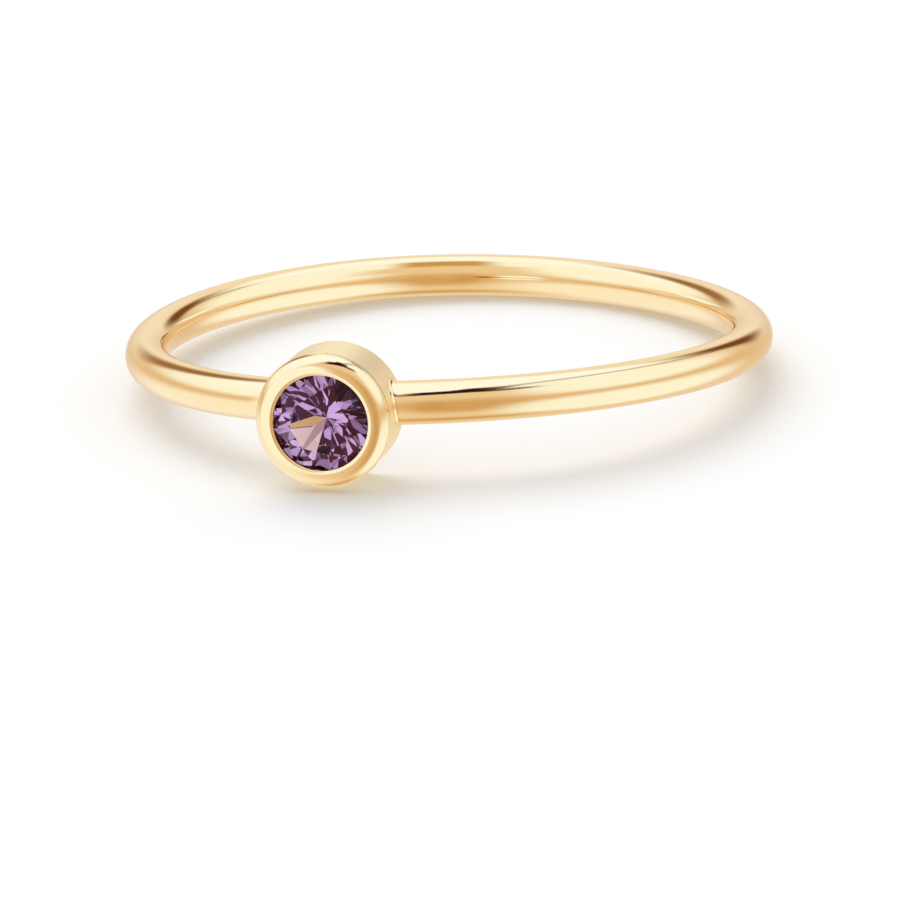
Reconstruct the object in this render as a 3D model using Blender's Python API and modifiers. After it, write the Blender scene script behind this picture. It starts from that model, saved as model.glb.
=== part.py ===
"""A slim gold ring with one round stone in a bezel cup.

The ring lies on its side, as it would by itself: it stands on the lowest
point of its cup and on the band opposite. Metres, +Z up, cup towards -Y.
"""

import math

import bmesh
import bpy
from mathutils import Matrix, Vector

MM = 0.001

# ---- band: a closed loop of round wire -------------------------------------
INNER_DIAMETER = 17.3 * MM  # a US size 7
WIRE_DIAMETER = 1.31 * MM
BAND_RADIUS = (INNER_DIAMETER + WIRE_DIAMETER) / 2
BAND_POINTS = 108
BAND_WARP = 0.13 * MM  # the loop is this much out of flat, in two low and two high places
WARP_PEAK = math.radians(-54.0)  # where one of the high places is, from +X

# ---- cup: turned, its own axis through the stone ---------------------------
CUP_REACH = 10.75 * MM  # from the finger hole's axis to the back of the cup's rim
CUP_DROP = 0.184 * MM  # the cup's axis is below the band's plane
CUP_TURN = math.radians(7.58)  # the cup looks this much to +X of straight out
CUP_RADIUS = 2.00 * MM
CUP_BACK = -1.96 * MM  # the flat back lies along the finger hole
RIM_RADIUS = 2.03 * MM  # the rim stands just proud of the cup's side
RIM_STEP = -0.03 * MM  # where the rim steps in to the side
CREST_RADIUS = 1.50 * MM  # the rim's front slopes gently back from here
CREST_HEIGHT = 0.385 * MM
SHOULDER_RADIUS = 1.80 * MM  # and is rounded from here to its edge
SHOULDER_SLOPE = math.radians(15)
RIM_EDGE = 0.04 * MM  # the height of the rounding's end
LIP_RADIUS = 1.42 * MM  # the opening that shows the stone
LIP_HEIGHT = 0.305 * MM
BORE_RADIUS = 1.35 * MM  # the pocket behind the stone
BACK_HOLE_RADIUS = 0.90 * MM
BACK_WALL = -1.34 * MM
TURN_STEPS = 60

# ---- stone: a round brilliant ----------------------------------------------
STONE_RADIUS = 1.50 * MM
STONE_GIRDLE_TOP = 0.15 * MM  # above the back of the rim
GIRDLE = 0.055  # the rest are in girdle radii
TABLE = 0.60  # the table's corners
CROWN_ANGLE = math.radians(33)
STAR_LENGTH = 0.50
PAVILION_ANGLE = math.radians(41)
LOWER_LENGTH = 0.78
STONE_TURN = math.radians(9)
STONE_STEPS = 48
STONE_GAP = 0.05 * MM  # kept all round between stone and metal

# ---- rest: it stands on the cup's lowest edge and on the band opposite -------
# These two angles put the mass centre as low as it goes on those contacts.
REST_LEAN = math.radians(-4.971)
REST_ROLL = math.radians(-1.408)

GOLD = ((0.86, 0.63, 0.33, 1.0), 0.12, 1.0)
VIOLET = ((0.32, 0.15, 0.45, 1.0), 0.03, 0.0)


def clear_scene():
    for obj in list(bpy.data.objects):
        bpy.data.objects.remove(obj, do_unlink=True)


def new_collection(name):
    collection = bpy.data.collections.new(name)
    bpy.context.scene.collection.children.link(collection)
    return collection


def material(name, color, roughness, metallic):
    made = bpy.data.materials.new(name)
    made.use_nodes = True
    shader = made.node_tree.nodes["Principled BSDF"]
    shader.inputs["Base Color"].default_value = color
    shader.inputs["Roughness"].default_value = roughness
    shader.inputs["Metallic"].default_value = metallic
    made.diffuse_color = color
    return made


def warp(angle):
    return BAND_WARP * math.cos(2 * (angle - WARP_PEAK))


def band_point(index):
    angle = 2 * math.pi * index / BAND_POINTS
    return (
        BAND_RADIUS * math.cos(angle),
        BAND_RADIUS * math.sin(angle),
        warp(angle),
    )


def wire_loop(name, collection):
    """The band: a cyclic curve with a round bevel, made a mesh so that it can be joined."""
    curve = bpy.data.curves.new(name + "_path", "CURVE")
    curve.dimensions = "3D"
    curve.twist_mode = "Z_UP"
    curve.bevel_depth = WIRE_DIAMETER / 2
    curve.bevel_resolution = 4
    spline = curve.splines.new("POLY")
    spline.points.add(BAND_POINTS - 1)
    for index, point in enumerate(spline.points):
        point.co = (*band_point(index), 1)
    spline.use_cyclic_u = True
    path = bpy.data.objects.new(name + "_path", curve)
    collection.objects.link(path)
    bpy.context.view_layer.update()
    graph = bpy.context.evaluated_depsgraph_get()
    mesh = bpy.data.meshes.new_from_object(path.evaluated_get(graph))
    bm = bmesh.new()
    bm.from_mesh(mesh)
    bmesh.ops.remove_doubles(bm, verts=bm.verts, dist=1e-7)
    bmesh.ops.recalc_face_normals(bm, faces=bm.faces)
    bm.to_mesh(mesh)
    bm.free()
    band = bpy.data.objects.new(name, mesh)
    band.matrix_world = path.matrix_world
    collection.objects.link(band)
    bpy.data.objects.remove(path, do_unlink=True)
    return band


def turned(name, profile, steps, collection):
    """A profile of (radius, height) turned about its own Z axis."""
    mesh = bpy.data.meshes.new(name)
    mesh.from_pydata(
        [(radius, 0.0, height) for radius, height in profile],
        [(i, i + 1) for i in range(len(profile) - 1)],
        [],
    )
    obj = bpy.data.objects.new(name, mesh)
    collection.objects.link(obj)
    screw = obj.modifiers.new("turn", "SCREW")
    screw.axis = "Z"
    screw.angle = 2 * math.pi
    screw.steps = steps
    screw.render_steps = steps
    screw.use_merge_vertices = True
    screw.merge_threshold = 1e-7
    screw.use_smooth_shade = True
    return obj


def rim_front():
    """The rim from its lip outwards: a bevel, a gentle slope, then a rounding to the edge.

    The slope of the front grows evenly to the shoulder's, and the rounding is
    a quarter of a curve that is level with the front and upright at the edge.
    """
    points = [(LIP_RADIUS, LIP_HEIGHT), (CREST_RADIUS, CREST_HEIGHT)]
    steps = 3
    radius, height = points[-1]
    for step in range(steps):
        slope = SHOULDER_SLOPE * (step + 1) / steps
        run = (SHOULDER_RADIUS - CREST_RADIUS) / steps
        radius, height = radius + run, height - run * math.tan(slope)
        points.append((radius, height))
    wide, tall = RIM_RADIUS - radius, height - RIM_EDGE
    for step in range(1, 7):
        angle = math.radians(90) * step / 6
        points.append(
            (radius + wide * math.sin(angle), RIM_EDGE + tall * math.cos(angle))
        )
    return points


def cup_profile():
    """From the front's middle, over the rim and down the side to the flat back."""
    return [
        (0.0, LIP_HEIGHT),
        *rim_front(),
        (RIM_RADIUS, RIM_STEP + 0.02 * MM),
        (CUP_RADIUS, RIM_STEP - 0.03 * MM),
        (CUP_RADIUS, CUP_BACK),
        (0.0, CUP_BACK),
    ]


def pocket_profile():
    """The stone's pocket: mouth, lip, girdle groove, bearing, bore and back hole."""
    girdle_low = STONE_GIRDLE_TOP - GIRDLE * STONE_RADIUS
    groove = STONE_RADIUS + STONE_GAP
    slope = math.tan(PAVILION_ANGLE)
    bearing = girdle_low - 1.3 * STONE_GAP
    return [
        (0.0, 1.2 * MM),
        (LIP_RADIUS, 1.2 * MM),
        (LIP_RADIUS, STONE_GIRDLE_TOP + 0.09 * MM),
        (groove, STONE_GIRDLE_TOP + 0.02 * MM),
        (groove, bearing),
        (BORE_RADIUS, bearing - (groove - BORE_RADIUS) * slope),
        (BORE_RADIUS, BACK_WALL),
        (BACK_HOLE_RADIUS, BACK_WALL),
        (BACK_HOLE_RADIUS, CUP_BACK - 0.3 * MM),
        (0.0, CUP_BACK - 0.3 * MM),
    ]


def facet_tiers():
    """The brilliant's planes as (count, first azimuth, tilt, azimuth and point they pass).

    The girdle's top is at height 0, and its radius is 1.
    """
    eighth = math.pi / 4
    half = eighth / 2
    quarter = eighth / 4
    table_height = math.tan(CROWN_ANGLE) * (1 - TABLE)
    table_edge = TABLE * math.cos(half)
    star_tip = table_edge + STAR_LENGTH * (1 - table_edge)
    star_height = math.tan(CROWN_ANGLE) * (1 - star_tip * math.cos(half))
    star_tilt = math.atan2(table_height - star_height, star_tip - table_edge)
    upper_edge = math.cos(quarter)
    upper_tilt = math.atan2(star_height, upper_edge - star_tip * math.cos(quarter))
    lower_tip = 1 - LOWER_LENGTH
    lower_depth = math.tan(PAVILION_ANGLE) * (1 - lower_tip * math.cos(half))
    lower_tilt = math.atan2(lower_depth, upper_edge - lower_tip * math.cos(quarter))
    return [
        # count, first azimuth, tilt from level, radius passed, height passed, side
        ("table", 1, 0.0, 0.0, 0.0, table_height, 1),
        ("kite", 8, 0.0, CROWN_ANGLE, 1.0, 0.0, 1),
        ("star", 8, half, star_tilt, table_edge, table_height, 1),
        ("upper half", 16, quarter, upper_tilt, upper_edge, 0.0, 1),
        ("main", 8, 0.0, PAVILION_ANGLE, 1.0, -GIRDLE, -1),
        ("lower half", 16, quarter, lower_tilt, upper_edge, -GIRDLE, -1),
    ]


def brilliant(name, collection):
    """A round blank cut plane by plane, as a stone is, then sized."""
    bm = bmesh.new()
    bmesh.ops.create_cone(
        bm,
        cap_ends=True,
        segments=STONE_STEPS,
        radius1=1.0,
        radius2=1.0,
        depth=2.4,
    )
    for _, count, first, tilt, radius, height, side in facet_tiers():
        for index in range(count):
            azimuth = first + 2 * math.pi * index / count
            normal = Vector(
                (
                    math.sin(tilt) * math.cos(azimuth),
                    math.sin(tilt) * math.sin(azimuth),
                    side * math.cos(tilt),
                )
            )
            through = (radius * math.cos(azimuth), radius * math.sin(azimuth), height)
            bmesh.ops.bisect_plane(
                bm,
                geom=bm.verts[:] + bm.edges[:] + bm.faces[:],
                dist=1e-5,
                plane_co=through,
                plane_no=normal,
                clear_outer=True,
            )
            rim = [edge for edge in bm.edges if edge.is_boundary]
            if rim:
                bmesh.ops.holes_fill(bm, edges=rim, sides=0)
    bmesh.ops.remove_doubles(bm, verts=bm.verts, dist=1e-4)
    bmesh.ops.dissolve_degenerate(bm, edges=bm.edges, dist=1e-4)
    bmesh.ops.transform(
        bm,
        matrix=Matrix.Translation((0, 0, STONE_GIRDLE_TOP))
        @ Matrix.Scale(STONE_RADIUS, 4)
        @ Matrix.Rotation(STONE_TURN, 4, "Z"),
        verts=bm.verts,
    )
    bmesh.ops.recalc_face_normals(bm, faces=bm.faces)
    mesh = bpy.data.meshes.new(name)
    bm.to_mesh(mesh)
    bm.free()
    obj = bpy.data.objects.new(name, mesh)
    collection.objects.link(obj)
    return obj


def boolean(target, cutter, operation):
    modifier = target.modifiers.new(operation.lower() + "_" + cutter.name, "BOOLEAN")
    modifier.operation = operation
    modifier.solver = "EXACT"
    modifier.object = cutter
    cutter.hide_render = True
    cutter.display_type = "WIRE"


def cup_matrix():
    """The cup's frame in the ring's: its Z axis looks out of the front."""
    out = Vector((math.sin(CUP_TURN), -math.cos(CUP_TURN), 0.0))
    side = Vector((0.0, 0.0, 1.0)).cross(out)
    up = out.cross(side)
    turn = Matrix((side, up, out)).transposed().to_4x4()
    return Matrix.Translation((0.0, -CUP_REACH, -CUP_DROP)) @ turn


def set_down(frame, pieces):
    """Moves the ring's frame so that its box is centred on the origin and stands on Z = 0."""
    bpy.context.view_layer.update()
    graph = bpy.context.evaluated_depsgraph_get()
    corners = []
    for piece in pieces:
        evaluated = piece.evaluated_get(graph)
        mesh = evaluated.to_mesh()
        corners += [evaluated.matrix_world @ vert.co for vert in mesh.vertices]
        evaluated.to_mesh_clear()
    low = [min(corner[axis] for corner in corners) for axis in range(3)]
    high = [max(corner[axis] for corner in corners) for axis in range(3)]
    frame.location = (-(low[0] + high[0]) / 2, -(low[1] + high[1]) / 2, -low[2])
    bpy.context.view_layer.update()


def build():
    clear_scene()
    parts = new_collection("bezel_ring")
    tools = new_collection("ring_cutters")

    frame = bpy.data.objects.new("ring_rest", None)
    frame.empty_display_size = 0.01
    frame.rotation_euler = (REST_LEAN, REST_ROLL, 0.0)
    parts.objects.link(frame)

    band = wire_loop("band_and_bezel", parts)
    cup = turned("cup_body", cup_profile(), TURN_STEPS, tools)
    pocket = turned("stone_pocket", pocket_profile(), TURN_STEPS, tools)
    stone = brilliant("stone", parts)

    for piece in (band, cup, pocket, stone):
        piece.parent = frame
    for piece in (cup, pocket, stone):
        piece.matrix_local = cup_matrix()

    boolean(band, cup, "UNION")
    boolean(band, pocket, "DIFFERENCE")

    band.data.materials.append(material("gold", *GOLD))
    stone.data.materials.append(material("violet_stone", *VIOLET))
    band.data.shade_smooth()
    band.data.set_sharp_from_angle(angle=math.radians(35))
    set_down(frame, (band, stone))


build()
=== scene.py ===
"""A slim polished gold ring with one bezel-set violet stone, lying on its side on a white table."""
import math

import bmesh
import bpy
import numpy as np
from mathutils import Matrix, Vector


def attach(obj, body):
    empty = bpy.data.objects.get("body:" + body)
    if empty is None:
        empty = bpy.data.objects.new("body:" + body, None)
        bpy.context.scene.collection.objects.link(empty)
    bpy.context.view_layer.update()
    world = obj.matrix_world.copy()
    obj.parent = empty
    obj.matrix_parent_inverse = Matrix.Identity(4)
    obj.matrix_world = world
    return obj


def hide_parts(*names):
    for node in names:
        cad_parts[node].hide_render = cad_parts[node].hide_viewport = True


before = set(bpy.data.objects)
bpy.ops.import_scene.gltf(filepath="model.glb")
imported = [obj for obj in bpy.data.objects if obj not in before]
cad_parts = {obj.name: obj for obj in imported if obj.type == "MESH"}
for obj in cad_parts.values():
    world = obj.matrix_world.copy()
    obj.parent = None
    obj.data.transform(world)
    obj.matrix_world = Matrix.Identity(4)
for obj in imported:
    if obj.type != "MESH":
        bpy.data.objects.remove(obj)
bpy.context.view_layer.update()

MM = 0.001

# ---------------------------------------------------------------- sizes, as built
BAND_R = (17.3 + 1.31) / 2 * MM
WIRE_R = 1.31 / 2 * MM
WARP = 0.13 * MM
WARP_PEAK = math.radians(-54.0)

CUP_REACH = 10.75 * MM
CUP_DROP = 0.184 * MM
CUP_TURN = math.radians(7.58)
CUP_R = 2.00 * MM
CUP_BACK = -1.96 * MM
RIM_R = 2.03 * MM
CREST_R = 1.50 * MM
CREST_H = 0.385 * MM
LIP_R = 1.445 * MM
BORE_R = 1.35 * MM
BACK_HOLE_R = 0.90 * MM
BACK_WALL = -1.34 * MM

STONE_R = 1.50 * MM
GIRDLE_TOP = 0.15 * MM
GIRDLE = 0.055
TABLE = 0.60
CROWN = math.radians(33)
STAR = 0.50
PAVILION = math.radians(41)
LOWER = 0.78
STONE_TURN = math.radians(9)

REST = Matrix.Translation(Vector((-0.00098, 0.73251, 1.41858)) * MM) @ (
    Matrix.Rotation(math.radians(-1.408), 4, "Y")
    @ Matrix.Rotation(math.radians(-4.971), 4, "X")
)


def cup_frame():
    out = Vector((math.sin(CUP_TURN), -math.cos(CUP_TURN), 0.0))
    side = Vector((0.0, 0.0, 1.0)).cross(out)
    up = out.cross(side)
    turn = Matrix((side, up, out)).transposed().to_4x4()
    return Matrix.Translation((0.0, -CUP_REACH, -CUP_DROP)) @ turn


CUP = cup_frame()

# ---------------------------------------------------------------- camera
# The ring's plane is seen from this far above it, and the cup this far to the left.
VIEW_ELEVATION = math.radians(12.878)
VIEW_ROLL = math.radians(1.938)
VIEW_TURN = math.radians(20.681)
VIEW_DISTANCE = 25.408 * BAND_R
VIEW_OFFSET = (-0.0036 * BAND_R, 0.3669 * BAND_R)
FOCAL_PIXELS = 7682.4
PIXELS = 900.0


def add_camera():
    n = Vector((0.0, math.cos(VIEW_ELEVATION), math.sin(VIEW_ELEVATION)))
    e1 = Vector((1.0, 0.0, 0.0))
    away = n.cross(e1)
    spin = Matrix.Rotation(VIEW_ROLL, 3, "Z")
    to_camera = Matrix((spin @ e1, spin @ away, spin @ n)).transposed()
    turn = Matrix.Rotation(VIEW_TURN, 3, "Z")
    ring_from_camera = turn @ to_camera.transposed()
    centre = Vector((VIEW_OFFSET[0], VIEW_OFFSET[1], -VIEW_DISTANCE))
    place = Matrix.Translation(-(ring_from_camera @ centre)) @ ring_from_camera.to_4x4()
    data = bpy.data.cameras.new("camera")
    data.sensor_width = 36.0
    data.sensor_height = 36.0
    data.sensor_fit = "HORIZONTAL"
    data.lens = FOCAL_PIXELS / PIXELS * 36.0
    data.clip_start = 0.02
    data.clip_end = 5.0
    camera = bpy.data.objects.new("camera", data)
    bpy.context.scene.collection.objects.link(camera)
    camera.matrix_world = REST @ place
    bpy.context.scene.camera = camera
    return camera


# ---------------------------------------------------------------- mesh helpers
def mesh_object(name, points, faces, smooth=True):
    mesh = bpy.data.meshes.new(name)
    mesh.from_pydata([tuple(p) for p in points], [], faces)
    mesh.validate()
    mesh.update()
    if smooth:
        mesh.shade_smooth()
    obj = bpy.data.objects.new(name, mesh)
    bpy.context.scene.collection.objects.link(obj)
    return obj


def lathe(name, profile, steps):
    """A closed turned body about Z from (radius, height) points, its ends on the axis."""
    points = []
    faces = []
    rings = []
    for radius, height in profile:
        if radius < 1e-9:
            rings.append([len(points)])
            points.append((0.0, 0.0, height))
            continue
        ring = []
        for k in range(steps):
            a = 2 * math.pi * k / steps
            ring.append(len(points))
            points.append((radius * math.cos(a), radius * math.sin(a), height))
        rings.append(ring)
    for upper, lower in zip(rings, rings[1:]):
        for k in range(steps):
            j = (k + 1) % steps
            if len(upper) == 1:
                faces.append((upper[0], lower[k], lower[j]))
            elif len(lower) == 1:
                faces.append((upper[k], lower[0], upper[j]))
            else:
                faces.append((upper[k], lower[k], lower[j], upper[j]))
    return mesh_object(name, points, faces)


def apply_modifiers(obj):
    graph = bpy.context.evaluated_depsgraph_get()
    made = bpy.data.meshes.new_from_object(obj.evaluated_get(graph))
    obj.modifiers.clear()
    old = obj.data
    obj.data = made
    bpy.data.meshes.remove(old)


def boolean(target, cutter, operation):
    modifier = target.modifiers.new(operation, "BOOLEAN")
    modifier.operation = operation
    modifier.solver = "EXACT"
    modifier.object = cutter
    bpy.context.view_layer.update()
    apply_modifiers(target)
    bpy.data.objects.remove(cutter, do_unlink=True)


def ellipse(center, radii, start, end, count):
    for step in range(count + 1):
        a = math.radians(start + (end - start) * step / count)
        yield (center[0] + radii[0] * math.cos(a), center[1] + radii[1] * math.sin(a))


# ---------------------------------------------------------------- cup
# How steeply the rim's front falls away, in degrees, at each radius in millimetres.
RIM_SLOPES = (
    # radius, slope
    (1.540, 2.0),
    (1.620, 6.0),
    (1.680, 9.0),
    (1.720, 13.0),
    (1.760, 20.0),
    (1.790, 26.0),
    (1.820, 31.0),
    (1.860, 36.0),
    (1.900, 42.0),
    (1.940, 50.0),
    (1.970, 58.0),
    (2.000, 68.0),
    (2.022, 81.0),
)


def rim_front():
    """The rim's front from its crest outwards, its height summed up from the slopes."""
    table = np.array(RIM_SLOPES)
    radius = LIP_R + 0.110 * MM
    height = CREST_H - 0.0005 * MM
    points = [(radius, height)]
    while radius < 2.0219 * MM:
        slope = math.radians(np.interp(radius / MM, table[:, 0], table[:, 1]))
        # short steps where it is steep, so that no two facets differ by much
        run = max(0.0008, 0.018 * math.cos(slope) ** 1.6) * MM
        run = min(run, 2.022 * MM - radius)
        middle = math.radians(
            np.interp((radius + run / 2) / MM, table[:, 0], table[:, 1])
        )
        radius += run
        height -= run * math.tan(middle)
        points.append((radius, height))
    return points


def cup_outside():
    """From the axis over the lip and the rim, down the step and the side to the back."""
    points = [
        (0.0, CREST_H - 0.036 * MM),
        (LIP_R * 0.6, CREST_H - 0.036 * MM),
        (LIP_R + 0.001 * MM, CREST_H - 0.036 * MM),
        # the narrow bright bevel that holds the stone
        (LIP_R + 0.003 * MM, CREST_H - 0.032 * MM),
        (LIP_R + 0.043 * MM, CREST_H - 0.0135 * MM),
        # its outer edge, rounded over into the front
        (LIP_R + 0.054 * MM, CREST_H - 0.0094 * MM),
        (LIP_R + 0.066 * MM, CREST_H - 0.0058 * MM),
        (LIP_R + 0.078 * MM, CREST_H - 0.0030 * MM),
        (LIP_R + 0.089 * MM, CREST_H - 0.0011 * MM),
        (LIP_R + 0.100 * MM, CREST_H),
    ]
    front = rim_front()
    points += front
    low = front[-1][1]
    for k in range(1, 5):
        points.append((2.022 * MM + 0.008 * MM * k / 4, low * (1 - k / 4.0) + 0.02 * MM * k / 4.0))
    # the rim's back edge turns in to a shallow channel, then the cup's side starts
    points += [
        (RIM_R, -0.008 * MM),
        (RIM_R - 0.004 * MM, -0.018 * MM),
        (RIM_R - 0.014 * MM, -0.026 * MM),
        (CUP_R - 0.006 * MM, -0.030 * MM),
        (CUP_R - 0.013 * MM, -0.038 * MM),
        (CUP_R - 0.016 * MM, -0.060 * MM),
        (CUP_R - 0.016 * MM, -0.110 * MM),
        (CUP_R - 0.014 * MM, -0.160 * MM),
        (CUP_R - 0.008 * MM, -0.200 * MM),
        (CUP_R - 0.002 * MM, -0.230 * MM),
    ]
    steps = 30
    top = -0.260 * MM
    bottom = CUP_BACK + 0.05 * MM
    for k in range(steps + 1):
        points.append((CUP_R, top + (bottom - top) * k / steps))
    points += list(
        ellipse((CUP_R - 0.05 * MM, bottom), (0.05 * MM, 0.05 * MM), 0, -90, 6)
    )[1:]
    points += [(CUP_R * 0.5, CUP_BACK), (0.0, CUP_BACK)]
    return points


def pocket_outline():
    low = GIRDLE_TOP - GIRDLE * STONE_R
    groove = STONE_R + 0.02 * MM
    slope = math.tan(PAVILION)
    bearing = low - 0.026 * MM
    return [
        (0.0, 1.2 * MM),
        (LIP_R, 1.2 * MM),
        (LIP_R, GIRDLE_TOP + 0.095 * MM),
        (groove, GIRDLE_TOP + 0.012 * MM),
        (groove, bearing),
        (BORE_R, bearing - (groove - BORE_R) * slope),
        (BORE_R, BACK_WALL + 0.08 * MM),
        (BORE_R - 0.03 * MM, BACK_WALL + 0.02 * MM),
        (BORE_R - 0.09 * MM, BACK_WALL),
        (BACK_HOLE_R, BACK_WALL),
        (BACK_HOLE_R, CUP_BACK - 0.3 * MM),
        (0.0, CUP_BACK - 0.3 * MM),
    ]


# ---------------------------------------------------------------- band
TURN_NP = np.array(CUP.inverted())


def centre_line(angle):
    return np.stack(
        [
            BAND_R * np.cos(angle),
            BAND_R * np.sin(angle),
            WARP * np.cos(2 * (angle - WARP_PEAK)),
        ],
        -1,
    )


def wire_frame(angle):
    """Centre, outward and upward unit vectors of the wire at each angle."""
    centre = centre_line(angle)
    tangent = np.stack(
        [
            -BAND_R * np.sin(angle),
            BAND_R * np.cos(angle),
            -2 * WARP * np.sin(2 * (angle - WARP_PEAK)),
        ],
        -1,
    )
    tangent /= np.linalg.norm(tangent, axis=-1, keepdims=True)
    out = np.cross(tangent, np.array([0.0, 0.0, 1.0]))
    out /= np.linalg.norm(out, axis=-1, keepdims=True)
    up = np.cross(out, tangent)
    return centre, out, up


def wire_point(angle, around, radius):
    centre, out, up = wire_frame(angle)
    return centre + radius[..., None] * (
        np.cos(around)[..., None] * out + np.sin(around)[..., None] * up
    )


def off_drum(points):
    """How far points in the ring's frame are outside the drum's surface."""
    local = points @ TURN_NP[:3, :3].T + TURN_NP[:3, 3]
    return np.hypot(local[..., 0], local[..., 1]) - CUP_R


def angle_at(distance, around, side):
    """The wire's angle where its surface is this far outside the drum, on one side."""
    near = np.full_like(around, -math.pi / 2 + side * 0.03)
    far = np.full_like(around, -math.pi / 2 + side * 0.60)
    radius = np.full_like(around, WIRE_R)
    for _ in range(50):
        middle = (near + far) / 2
        inside = off_drum(wire_point(middle, around, radius)) < distance
        near = np.where(inside, middle, near)
        far = np.where(inside, far, middle)
    return (near + far) / 2


def band_mesh():
    """The closed wire loop, flaring into a solder fillet on each side of the cup."""
    sides = 56
    along = 520
    fillet = 0.10 * MM
    around = np.arange(sides) * (2 * math.pi / sides)

    def joint(side):
        """Loops from inside the cup to the fillet's outer end, and the angle there."""
        made = []
        for depth, grow in ((-0.45, 0.0), (-0.30, 0.55), (-0.14, 0.80)):
            angle = angle_at(depth * MM, around, side)
            made.append(wire_point(angle, around, np.full(sides, WIRE_R + grow * fillet)))
        for turn in np.linspace(60, 0, 9):
            a = math.radians(turn)
            distance = fillet * (1 - math.sin(a))
            grow = fillet * (1 - math.cos(a))
            angle = angle_at(distance, around, side)
            made.append(wire_point(angle, around, np.full(sides, WIRE_R + grow)))
        return made, angle

    first, start = joint(+1)
    last, stop = joint(-1)
    stop = stop + 2 * math.pi
    loops = list(first)
    for k in range(1, along):
        angle = start + (stop - start) * k / along
        loops.append(wire_point(angle, around, np.full(sides, WIRE_R)))
    loops += last[::-1]
    # behind the stone, where the pocket is cut through it
    start = angle_at(-0.45 * MM, around, +1)
    stop = angle_at(-0.45 * MM, around, -1)
    for k in range(1, 12):
        angle = stop + (start - stop) * k / 12
        loops.append(wire_point(angle, around, np.full(sides, WIRE_R)))
    points = np.concatenate(loops)
    count = len(loops)
    faces = []
    for i in range(count):
        after = (i + 1) % count
        for k in range(sides):
            j = (k + 1) % sides
            faces.append(
                (i * sides + k, i * sides + j, after * sides + j, after * sides + k)
            )
    band = mesh_object("gold_band_and_cup", points, faces)
    bm = bmesh.new()
    bm.from_mesh(band.data)
    bmesh.ops.recalc_face_normals(bm, faces=bm.faces)
    bm.to_mesh(band.data)
    bm.free()
    return band


def build_metal():
    band = band_mesh()
    cup = lathe("cup", cup_outside(), 288)
    pocket = lathe("pocket", pocket_outline(), 288)
    cup.data.transform(CUP)
    pocket.data.transform(CUP)
    boolean(band, cup, "UNION")
    boolean(band, pocket, "DIFFERENCE")
    band.data.transform(REST)
    return band


# ---------------------------------------------------------------- stone
def facet_planes():
    """(azimuth, tilt, radius passed, height passed, side) of each facet of a round brilliant."""
    half = math.pi / 8
    quarter = math.pi / 16
    table_h = math.tan(CROWN) * (1 - TABLE)
    table_edge = TABLE * math.cos(half)
    tip = table_edge + STAR * (1 - table_edge)
    tip_h = math.tan(CROWN) * (1 - tip * math.cos(half))
    star = math.atan2(table_h - tip_h, tip - table_edge)
    edge = math.cos(quarter)
    upper = math.atan2(tip_h, edge - tip * math.cos(quarter))
    low_tip = 1 - LOWER
    depth = math.tan(PAVILION) * (1 - low_tip * math.cos(half))
    lower = math.atan2(depth, edge - low_tip * math.cos(quarter))
    tiers = (
        (1, 0.0, 0.0, 0.0, table_h, 1),
        (8, 0.0, CROWN, 1.0, 0.0, 1),
        (8, half, star, table_edge, table_h, 1),
        (16, quarter, upper, edge, 0.0, 1),
        (8, 0.0, PAVILION, 1.0, -GIRDLE, -1),
        (16, quarter, lower, edge, -GIRDLE, -1),
    )
    for count, first, tilt, radius, height, side in tiers:
        for k in range(count):
            yield first + 2 * math.pi * k / count, tilt, radius, height, side


def build_stone():
    bm = bmesh.new()
    bmesh.ops.create_cone(
        bm, cap_ends=True, segments=160, radius1=1.0, radius2=1.0, depth=2.4
    )
    for azimuth, tilt, radius, height, side in facet_planes():
        normal = (
            math.sin(tilt) * math.cos(azimuth),
            math.sin(tilt) * math.sin(azimuth),
            side * math.cos(tilt),
        )
        bmesh.ops.bisect_plane(
            bm,
            geom=bm.verts[:] + bm.edges[:] + bm.faces[:],
            dist=1e-5,
            plane_co=(radius * math.cos(azimuth), radius * math.sin(azimuth), height),
            plane_no=normal,
            clear_outer=True,
        )
        rim = [edge for edge in bm.edges if edge.is_boundary]
        if rim:
            bmesh.ops.holes_fill(bm, edges=rim, sides=0)
    bmesh.ops.remove_doubles(bm, verts=bm.verts, dist=1e-4)
    bmesh.ops.dissolve_degenerate(bm, edges=bm.edges, dist=1e-4)
    bmesh.ops.transform(
        bm,
        matrix=REST
        @ CUP
        @ Matrix.Translation((0, 0, GIRDLE_TOP))
        @ Matrix.Scale(STONE_R, 4)
        @ Matrix.Rotation(STONE_TURN, 4, "Z"),
        verts=bm.verts,
    )
    bmesh.ops.recalc_face_normals(bm, faces=bm.faces)
    mesh = bpy.data.meshes.new("cut_stone")
    bm.to_mesh(mesh)
    bm.free()
    mesh.shade_flat()
    stone = bpy.data.objects.new("cut_stone", mesh)
    bpy.context.scene.collection.objects.link(stone)
    return stone


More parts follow.
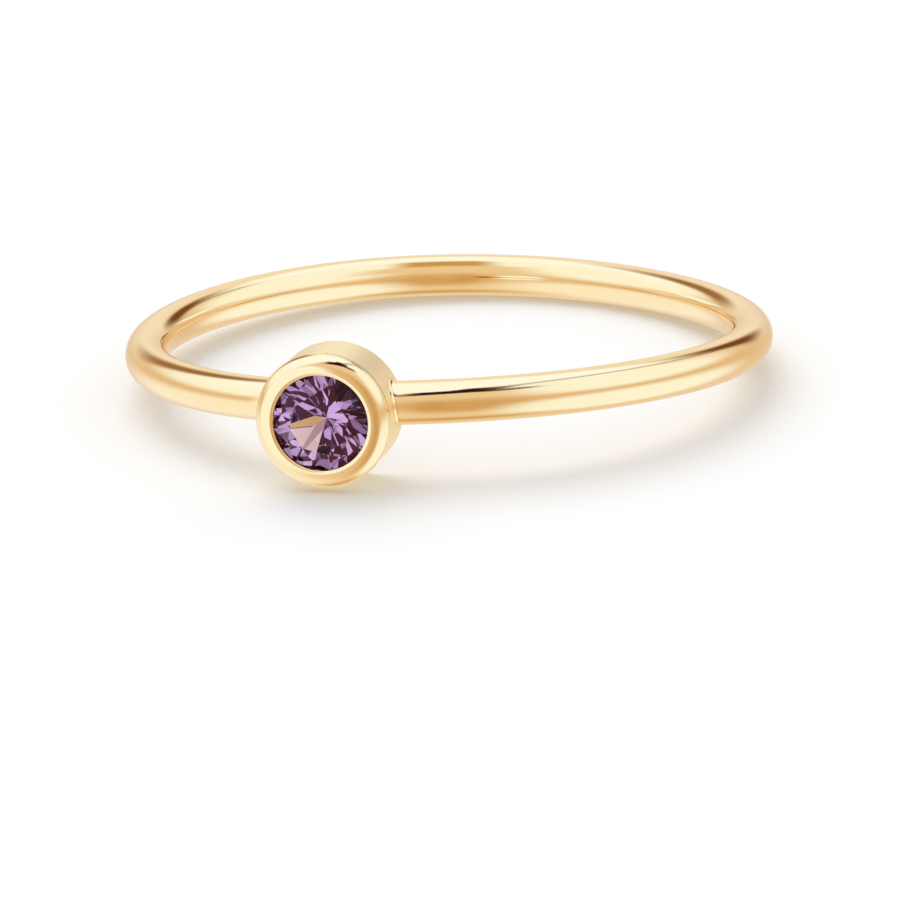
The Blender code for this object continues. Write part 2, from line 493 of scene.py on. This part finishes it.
# ---------------------------------------------------------------- materials
class Nodes:
    """A short way to write a node tree."""

    def __init__(self, tree):
        self.tree = tree
        tree.nodes.clear()

    def add(self, kind, **settings):
        node = self.tree.nodes.new(kind)
        for name, value in settings.items():
            setattr(node, name, value)
        return node

    def put(self, socket, value):
        if isinstance(value, bpy.types.NodeSocket):
            self.tree.links.new(value, socket)
        elif value is not None:
            socket.default_value = value

    def math(self, operation, a, b=None, c=None, clamp=False):
        node = self.add("ShaderNodeMath", operation=operation, use_clamp=clamp)
        for socket, value in zip(node.inputs, (a, b, c)):
            self.put(socket, value)
        return node.outputs[0]

    def dot(self, a, b):
        node = self.add("ShaderNodeVectorMath", operation="DOT_PRODUCT")
        self.put(node.inputs[0], a)
        self.put(node.inputs[1], b)
        return node.outputs["Value"]

    def smooth(self, value, low, high):
        """0 at low and beyond, 1 at high and beyond."""
        node = self.add("ShaderNodeMapRange", interpolation_type="SMOOTHSTEP")
        self.put(node.inputs["Value"], value)
        self.put(node.inputs["From Min"], low)
        self.put(node.inputs["From Max"], high)
        return node.outputs["Result"]

    def between(self, value, low, high, soft):
        up = self.smooth(value, low - soft, low + soft)
        down = self.smooth(value, high - soft, high + soft)
        return self.math("SUBTRACT", up, down, clamp=True)

    def mix(self, factor, a, b):
        node = self.add("ShaderNodeMix", data_type="RGBA")
        self.put(node.inputs["Factor"], factor)
        self.put(node.inputs[6], a)
        self.put(node.inputs[7], b)
        return node.outputs[2]

    def noise(self, scale, detail=3.0, rough=0.5, vector=None):
        node = self.add("ShaderNodeTexNoise")
        node.inputs["Scale"].default_value = scale
        node.inputs["Detail"].default_value = detail
        node.inputs["Roughness"].default_value = rough
        self.put(node.inputs["Vector"], vector)
        return node.outputs["Fac"]


GOLD = (0.93, 0.68, 0.36, 1.0)


def gold(name, roughness, spread, color, grain, grain_scale):
    """Polished or satin gold: slightly uneven gloss and a very fine hammering of marks."""
    made = bpy.data.materials.new(name)
    made.use_nodes = True
    n = Nodes(made.node_tree)
    out = n.add("ShaderNodeOutputMaterial")
    shader = n.add("ShaderNodeBsdfPrincipled")
    n.put(out.inputs["Surface"], shader.outputs[0])
    shader.inputs["Metallic"].default_value = 1.0
    where = n.add("ShaderNodeTexCoord").outputs["Object"]
    cloud = n.noise(420.0, 4.0, 0.6, where)
    fine = n.noise(2600.0, 3.0, 0.55, where)
    uneven = n.math("ADD", n.math("MULTIPLY", cloud, 0.6), n.math("MULTIPLY", fine, 0.4))
    n.put(
        shader.inputs["Roughness"],
        n.math("MULTIPLY_ADD", uneven, spread, roughness - spread / 2),
    )
    warm = (color[0] * 0.985, color[1] * 0.965, color[2] * 0.93, 1.0)
    n.put(shader.inputs["Base Color"], n.mix(cloud, color, warm))
    bump = n.add("ShaderNodeBump")
    bump.inputs["Strength"].default_value = grain
    bump.inputs["Distance"].default_value = 0.00001
    n.put(bump.inputs["Height"], n.noise(grain_scale, 4.0, 0.6, where))
    n.put(shader.inputs["Normal"], bump.outputs[0])
    made.diffuse_color = color
    return made


STONE_IOR = 1.76
STONE_TINTS = ((0.90, 0.80, 0.94, 1.0), (0.82, 0.70, 0.91, 1.0))
STONE_DEPTH = (0.56, 0.28, 0.66, 1.0)
STONE_DENSITY = 260.0
STONE_GLINT = (0.28, 0.15, 0.20, 1.0)


def violet():
    made = bpy.data.materials.new("violet_stone")
    made.use_nodes = True
    n = Nodes(made.node_tree)
    out = n.add("ShaderNodeOutputMaterial")
    shader = n.add("ShaderNodeBsdfPrincipled")
    n.put(out.inputs["Surface"], shader.outputs[0])
    shader.inputs["Transmission Weight"].default_value = 1.0
    shader.inputs["Roughness"].default_value = 0.0
    shader.inputs["IOR"].default_value = STONE_IOR
    shader.inputs["Specular Tint"].default_value = STONE_GLINT
    where = n.add("ShaderNodeTexCoord").outputs["Object"]
    zone = n.noise(700.0, 2.0, 0.5, where)
    n.put(
        shader.inputs["Base Color"],
        n.mix(zone, *STONE_TINTS),
    )
    # the longer the way through it, the deeper the violet
    depth = n.add("ShaderNodeVolumeAbsorption")
    depth.inputs["Color"].default_value = STONE_DEPTH
    depth.inputs["Density"].default_value = STONE_DENSITY
    n.put(out.inputs["Volume"], depth.outputs[0])
    made.diffuse_color = (0.4, 0.2, 0.6, 1.0)
    return made


def dress_metal(band):
    polished = gold("polished_gold", 0.075, 0.03, GOLD, 0.05, 9000.0)
    satin = gold("satin_gold", 0.48, 0.08, (0.99, 0.80, 0.475, 1.0), 0.35, 26000.0)
    # a dark brown gold for the channel between rim and drum: painted shade in the groove
    channel = gold("channel_painted_shade_gold", 0.5, 0.05, (0.60, 0.35, 0.13, 1.0), 0.2, 26000.0)
    # a near-black gold for the stone's pocket: painted shade inside the cup
    pocket = gold("pocket_painted_shade_gold", 0.45, 0.05, (0.16, 0.07, 0.05, 1.0), 0.2, 26000.0)
    mesh = band.data
    mesh.materials.clear()
    mesh.materials.append(polished)
    mesh.materials.append(satin)
    mesh.materials.append(channel)
    mesh.materials.append(pocket)
    to_cup = (REST @ CUP).inverted()
    turn = to_cup.to_3x3()
    for face in mesh.polygons:
        at = to_cup @ face.center
        radius = math.hypot(at.x, at.y)
        normal = turn @ face.normal
        side = (normal.x * at.x + normal.y * at.y) / max(radius, 1e-9)
        on_drum = abs(radius - CUP_R) < 0.012 * MM and -2.3 * MM < at.z < -0.07 * MM
        face.material_index = 1 if on_drum and side > 0.95 else 0
        # faces in the channel between rim and drum get the painted shade
        painted_shade_channel = CUP_R - 0.04 * MM < radius < CUP_R + 0.012 * MM
        if painted_shade_channel and -0.215 * MM < at.z < -0.027 * MM:
            face.material_index = 2
        # faces of the pocket behind the stone get the painted shade
        if radius < STONE_R + 0.03 * MM and BACK_WALL - 0.01 * MM < at.z < GIRDLE_TOP:
            face.material_index = 3
    mesh.shade_smooth()
    mesh.set_sharp_from_angle(angle=math.radians(32))


# ---------------------------------------------------------------- light
CAMERA_AZIMUTH = math.radians(20.714)

# What the gold shows: panels are a cool white, and what lies between them is warm.
BRIGHT = (1.12, 1.42, 1.99, 1.0)
PALE = (1.08, 1.33, 1.70, 1.0)
SOFT = (1.06, 1.20, 1.40, 1.0)
MID = (0.98, 0.98, 0.92, 1.0)
WARM = (0.92, 0.85, 0.74, 1.0)
HORIZON = (0.84, 0.71, 0.56, 1.0)
DIM = (0.71, 0.53, 0.31, 1.0)
AMBER = (0.58, 0.34, 0.10, 1.0)
UMBER = (0.36, 0.21, 0.10, 1.0)
BROWN = (0.20, 0.08, 0.03, 1.0)
DARK = (0.035, 0.005, 0.008, 1.0)
# What shows through the stone: a dark room with soft lamps in it, as
# (azimuth, elevation, half width, half height, color). Its facets look out in only two
# ways, mostly towards the camera and a few of them back over its right.
ROOM = (0.090, 0.022, 0.026, 1.0)
LAMPS = (
    (-29.0, 8.0, 16.0, 18.0, (1.16, 1.10, 1.14, 1.0)),
    (25.0, 13.0, 14.0, 12.0, (0.80, 0.72, 0.76, 1.0)),
    (-44.0, 42.0, 12.0, 11.0, (0.74, 0.66, 0.70, 1.0)),
    (3.0, -20.0, 13.0, 8.0, (0.76, 0.68, 0.72, 1.0)),
    (42.0, -8.0, 10.0, 13.0, (0.96, 0.88, 0.88, 1.0)),
    (4.0, 52.0, 14.0, 8.0, (1.06, 0.98, 0.92, 1.0)),
    (-6.0, 33.0, 9.0, 6.0, (0.62, 0.54, 0.60, 1.0)),
    (-30.0, -28.0, 12.0, 8.0, (0.86, 0.78, 0.76, 1.0)),
    (157.0, 17.0, 16.0, 14.0, (1.02, 0.86, 0.62, 1.0)),
    (136.0, -9.0, 12.0, 12.0, (0.95, 0.74, 0.24, 1.0)),
)
BREAKUP = (7.0, 0.35, 0.57, 0.54)


def add_world():
    """A studio of soft panels: seen in the metal and stone, but plain white behind."""
    world = bpy.data.worlds.new("studio")
    bpy.context.scene.world = world
    world.use_nodes = True
    world.cycles.sampling_method = "NONE"
    n = Nodes(world.node_tree)
    out = n.add("ShaderNodeOutputWorld")
    towards = n.add("ShaderNodeTexCoord").outputs["Generated"]
    ca, sa = math.cos(CAMERA_AZIMUTH), math.sin(CAMERA_AZIMUTH)
    x = n.dot(towards, (ca, sa, 0.0))
    y = n.dot(towards, (sa, -ca, 0.0))
    z = n.dot(towards, (0.0, 0.0, 1.0))
    az = n.math("MULTIPLY", n.math("ARCTAN2", x, y), 180 / math.pi)
    el = n.math("MULTIPLY", n.math("ARCSINE", z), 180 / math.pi)
    side = n.math("ABSOLUTE", az)

    def panel(azimuth, elevation, half_width, half_height, soft):
        """A soft-edged rounded box in the sky: 1 inside it and 0 outside."""
        u = n.math("DIVIDE", n.math("SUBTRACT", az, azimuth), half_width)
        v = n.math("DIVIDE", n.math("SUBTRACT", el, elevation), half_height)
        u = n.math("POWER", n.math("ABSOLUTE", u), 3.0)
        v = n.math("POWER", n.math("ABSOLUTE", v), 3.0)
        size = n.math("POWER", n.math("ADD", u, v), 1 / 3)
        inside = n.smooth(size, 1 - soft, 1 + soft)
        return n.math("SUBTRACT", 1.0, inside)

    # towards the camera it is dim, with a darker upright strip
    away = n.math("ABSOLUTE", n.math("SUBTRACT", el, -8.0))
    color = n.mix(n.smooth(away, 8.0, 44.0), HORIZON, WARM)
    high = n.math("MULTIPLY", n.smooth(el, 34.0, 56.0), n.smooth(side, 28.0, 52.0))
    color = n.mix(high, color, PALE)
    color = n.mix(panel(4.0, -11.0, 21.0, 31.0, 0.6), color, DIM)
    color = n.mix(n.math("MULTIPLY", panel(-8.0, -3.0, 5.0, 24.0, 0.6), 0.3), color, AMBER)
    # the panels left and right, and the table's light under them
    color = n.mix(panel(80.0, 39.0, 50.0, 29.0, 0.30), color, PALE)
    color = n.mix(panel(-97.0, 44.0, 54.0, 30.0, 0.32), color, PALE)
    color = n.mix(panel(74.0, -40.0, 52.0, 33.0, 0.30), color, PALE)
    color = n.mix(panel(-90.0, -37.0, 62.0, 31.0, 0.34), color, SOFT)
    # overhead and behind it is brightest, from an edge that bends across the front
    right_edge = n.dot(
        towards, (-0.8685 * ca - 0.4416 * sa, -0.8685 * sa + 0.4416 * ca, 0.225)
    )
    front_edge = n.dot(
        towards, (-0.306 * ca - 0.872 * sa, -0.306 * sa + 0.872 * ca, 0.3817)
    )
    across = n.math("MINIMUM", right_edge, front_edge)
    back = n.math("MULTIPLY", n.smooth(side, 138.0, 166.0), n.smooth(el, -8.0, 14.0))
    color = n.mix(back, color, MID)
    top = n.math("MULTIPLY", n.smooth(across, -0.01, 0.04), n.smooth(el, 30.0, 50.0))
    color = n.mix(top, color, BRIGHT)
    # brown gaps low down behind, on both sides
    color = n.mix(panel(151.0, 21.0, 9.0, 14.0, 0.6), color, BROWN)
    color = n.mix(panel(-157.0, 28.0, 11.0, 17.0, 0.6), color, UMBER)
    # the dark gap along the bright edge is widest over the front
    wide = n.smooth(az, 75.0, 15.0)
    middle = n.math("MULTIPLY_ADD", wide, 0.005, -0.045)
    half = n.math("MULTIPLY_ADD", wide, 0.085, 0.045)
    off = n.math("ABSOLUTE", n.math("SUBTRACT", across, middle))
    gap = n.smooth(n.math("SUBTRACT", off, half), 0.030, -0.030)
    gap = n.math("MULTIPLY", gap, n.smooth(el, 8.0, 30.0))
    gap = n.math("MULTIPLY", gap, n.smooth(az, -34.0, -19.0))
    gap = n.math("MULTIPLY", gap, n.smooth(az, 160.0, 130.0))
    gap = n.math("MULTIPLY", gap, n.math("MULTIPLY_ADD", wide, 0.5, 0.5))
    color = n.mix(gap, color, DARK)
    # and goes on a little lower towards the front
    low_end = n.math("MULTIPLY", panel(31.0, 59.0, 18.0, 4.6, 0.5), 0.85)
    color = n.mix(low_end, color, DARK)
    # straight down it is in the ring's own shade
    color = n.mix(n.smooth(el, -68.0, -86.0), color, DIM)

    room = n.mix(n.smooth(el, 66.0, 80.0), ROOM, (1.2, 1.2, 1.2, 1.0))
    for azimuth, elevation, half_width, half_height, shade in LAMPS:
        lamp = panel(azimuth, elevation, half_width, half_height, 0.15)
        room = n.mix(lamp, room, shade)
    # things in the room break its light up
    fine, low, high, least = BREAKUP
    clutter = n.smooth(n.noise(fine, 2.0, 0.6, towards), low, high)
    clutter = n.math("MULTIPLY_ADD", clutter, 1.0 - least, least)
    room = n.mix(clutter, ROOM, room)
    path = n.add("ShaderNodeLightPath")
    color = n.mix(path.outputs["Is Transmission Ray"], color, room)

    studio = n.add("ShaderNodeBackground")
    n.put(studio.inputs["Color"], color)
    plain = n.add("ShaderNodeBackground")
    plain.inputs["Color"].default_value = (1.0, 1.0, 1.0, 1.0)
    n.put(
        plain.inputs["Strength"],
        n.math("MULTIPLY_ADD", path.outputs["Is Camera Ray"], 0.22, 0.83),
    )
    soft = n.math("MAXIMUM", path.outputs["Is Camera Ray"], path.outputs["Is Diffuse Ray"])
    both = n.add("ShaderNodeMixShader")
    n.put(both.inputs[0], soft)
    n.put(both.inputs[1], studio.outputs[0])
    n.put(both.inputs[2], plain.outputs[0])
    n.put(out.inputs["Surface"], both.outputs[0])


def add_key():
    """One wide soft light from the upper left, which gives the table its soft shadow."""
    data = bpy.data.lights.new("key", "SUN")
    data.energy = 1.05
    data.angle = math.radians(55)
    key = bpy.data.objects.new("key", data)
    bpy.context.scene.collection.objects.link(key)
    key.rotation_euler = (math.radians(-22), math.radians(-26), 0.0)
    key.visible_glossy = False
    key.visible_transmission = False
    return key


def add_floor():
    mesh = bpy.data.meshes.new("floor")
    bm = bmesh.new()
    bmesh.ops.create_circle(bm, cap_ends=True, segments=96, radius=2.5)
    bm.to_mesh(mesh)
    bm.free()
    floor = bpy.data.objects.new("floor", mesh)
    bpy.context.scene.collection.objects.link(floor)
    made = bpy.data.materials.new("white_table")
    made.use_nodes = True
    n = Nodes(made.node_tree)
    out = n.add("ShaderNodeOutputMaterial")
    diffuse = n.add("ShaderNodeBsdfDiffuse")
    diffuse.inputs["Color"].default_value = (0.92, 0.92, 0.92, 1.0)
    n.put(out.inputs["Surface"], diffuse.outputs[0])
    mesh.materials.append(made)
    # the metal and the stone show the studio's panels instead of the table
    floor.visible_glossy = False
    floor.visible_transmission = False
    return floor


def card(name, color, centre, facing, sizes, shape):
    """A small light card close by: only the metal's and the stone's reflections show it."""
    mesh = bpy.data.meshes.new(name)
    w, h = sizes
    corners = [(-w, -h, 0), (w, -h, 0), (w, h, 0), (-w, h, 0)]
    mesh.from_pydata(corners, [], [(0, 1, 2, 3)])
    obj = bpy.data.objects.new(name, mesh)
    bpy.context.scene.collection.objects.link(obj)
    obj.matrix_world = Matrix.Translation(centre) @ facing
    made = bpy.data.materials.new(name)
    made.use_nodes = True
    n = Nodes(made.node_tree)
    out = n.add("ShaderNodeOutputMaterial")
    glow = n.add("ShaderNodeEmission")
    clear = n.add("ShaderNodeBsdfTransparent")
    both = n.add("ShaderNodeMixShader")
    where = n.add("ShaderNodeTexCoord").outputs["Object"]
    tint, cover = shape(n, n.dot(where, (1, 0, 0)), n.dot(where, (0, 1, 0)), color)
    n.put(glow.inputs["Color"], tint)
    n.put(both.inputs[0], cover)
    n.put(both.inputs[1], clear.outputs[0])
    n.put(both.inputs[2], glow.outputs[0])
    n.put(out.inputs["Surface"], both.outputs[0])
    mesh.materials.append(made)
    obj.visible_camera = False
    obj.visible_diffuse = False
    obj.visible_transmission = False
    obj.visible_shadow = False
    return obj


def add_cards():
    """A white card to the rim's left, and a warm one low over the band's back."""
    ca, sa = math.cos(CAMERA_AZIMUTH), math.sin(CAMERA_AZIMUTH)
    right = Vector((ca, sa, 0.0))
    near = Vector((sa, -ca, 0.0))

    def oval(n, x, y, color):
        y = n.math("SUBTRACT", y, 1.6 * MM)
        u = n.math("POWER", n.math("ABSOLUTE", n.math("DIVIDE", x, 4.9 * MM)), 3.0)
        v = n.math("POWER", n.math("ABSOLUTE", n.math("DIVIDE", y, 4.8 * MM)), 3.0)
        size = n.math("POWER", n.math("ADD", u, v), 1 / 3)
        return color, n.smooth(size, 1.15, 0.8)

    azimuth, elevation, far = math.radians(-56), math.radians(-6), 7.0 * MM
    flat = right * math.sin(azimuth) + near * math.cos(azimuth)
    direction = flat * math.cos(elevation) + Vector((0, 0, math.sin(elevation)))
    across = Vector((0.0, 0.0, 1.0)).cross(direction).normalized()
    upward = direction.cross(across)
    facing = Matrix((across, upward, direction)).transposed().to_4x4()
    cup = (REST @ CUP).translation
    card("rim_card", PALE, cup + direction * far, facing, (5.9 * MM, 7.2 * MM), oval)

    def crescent(n, x, y, color):
        """Along the back of the band: a short amber streak over it, paler around it."""
        r = n.math("SQRT", n.math("ADD", n.math("POWER", x, 2.0), n.math("POWER", y, 2.0)))
        turn = n.math("ABSOLUTE", n.math("ARCTAN2", x, y))
        ahead = n.math("SUBTRACT", BAND_R, r)
        middle = n.smooth(turn, 0.21, 0.09)
        low = n.mix(n.smooth(turn, 0.36, 0.16), PALE, WARM)
        streak = n.mix(middle, PALE, color)
        tint = n.mix(n.smooth(ahead, 0.75 * MM, 1.15 * MM), streak, low)
        cover = n.smooth(ahead, 2.30 * MM, 1.75 * MM)
        cover = n.math("MULTIPLY", cover, n.smooth(ahead, 0.08 * MM, 0.36 * MM))
        cover = n.math("MULTIPLY", cover, n.smooth(turn, 0.76, 0.58))
        return tint, cover

    centre = REST.translation + Vector((0.0, 0.0, 0.75 * MM))
    turned = Matrix.Rotation(CAMERA_AZIMUTH, 4, "Z")
    amber = (0.66, 0.45, 0.21, 1.0)
    card("back_card", amber, centre, turned, (13 * MM, 13 * MM), crescent)


# ---------------------------------------------------------------- scene
add_camera()
metal = build_metal()
dress_metal(metal)
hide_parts("band_and_bezel")
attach(metal, "root")

stone = build_stone()
stone.data.materials.append(violet())
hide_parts("stone")
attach(stone, "root")

add_floor()
add_cards()
add_world()
add_key()

scene = bpy.context.scene
scene.view_settings.view_transform = "Standard"
scene.view_settings.look = "None"
scene.view_settings.exposure = 0.0
scene.view_settings.gamma = 1.0
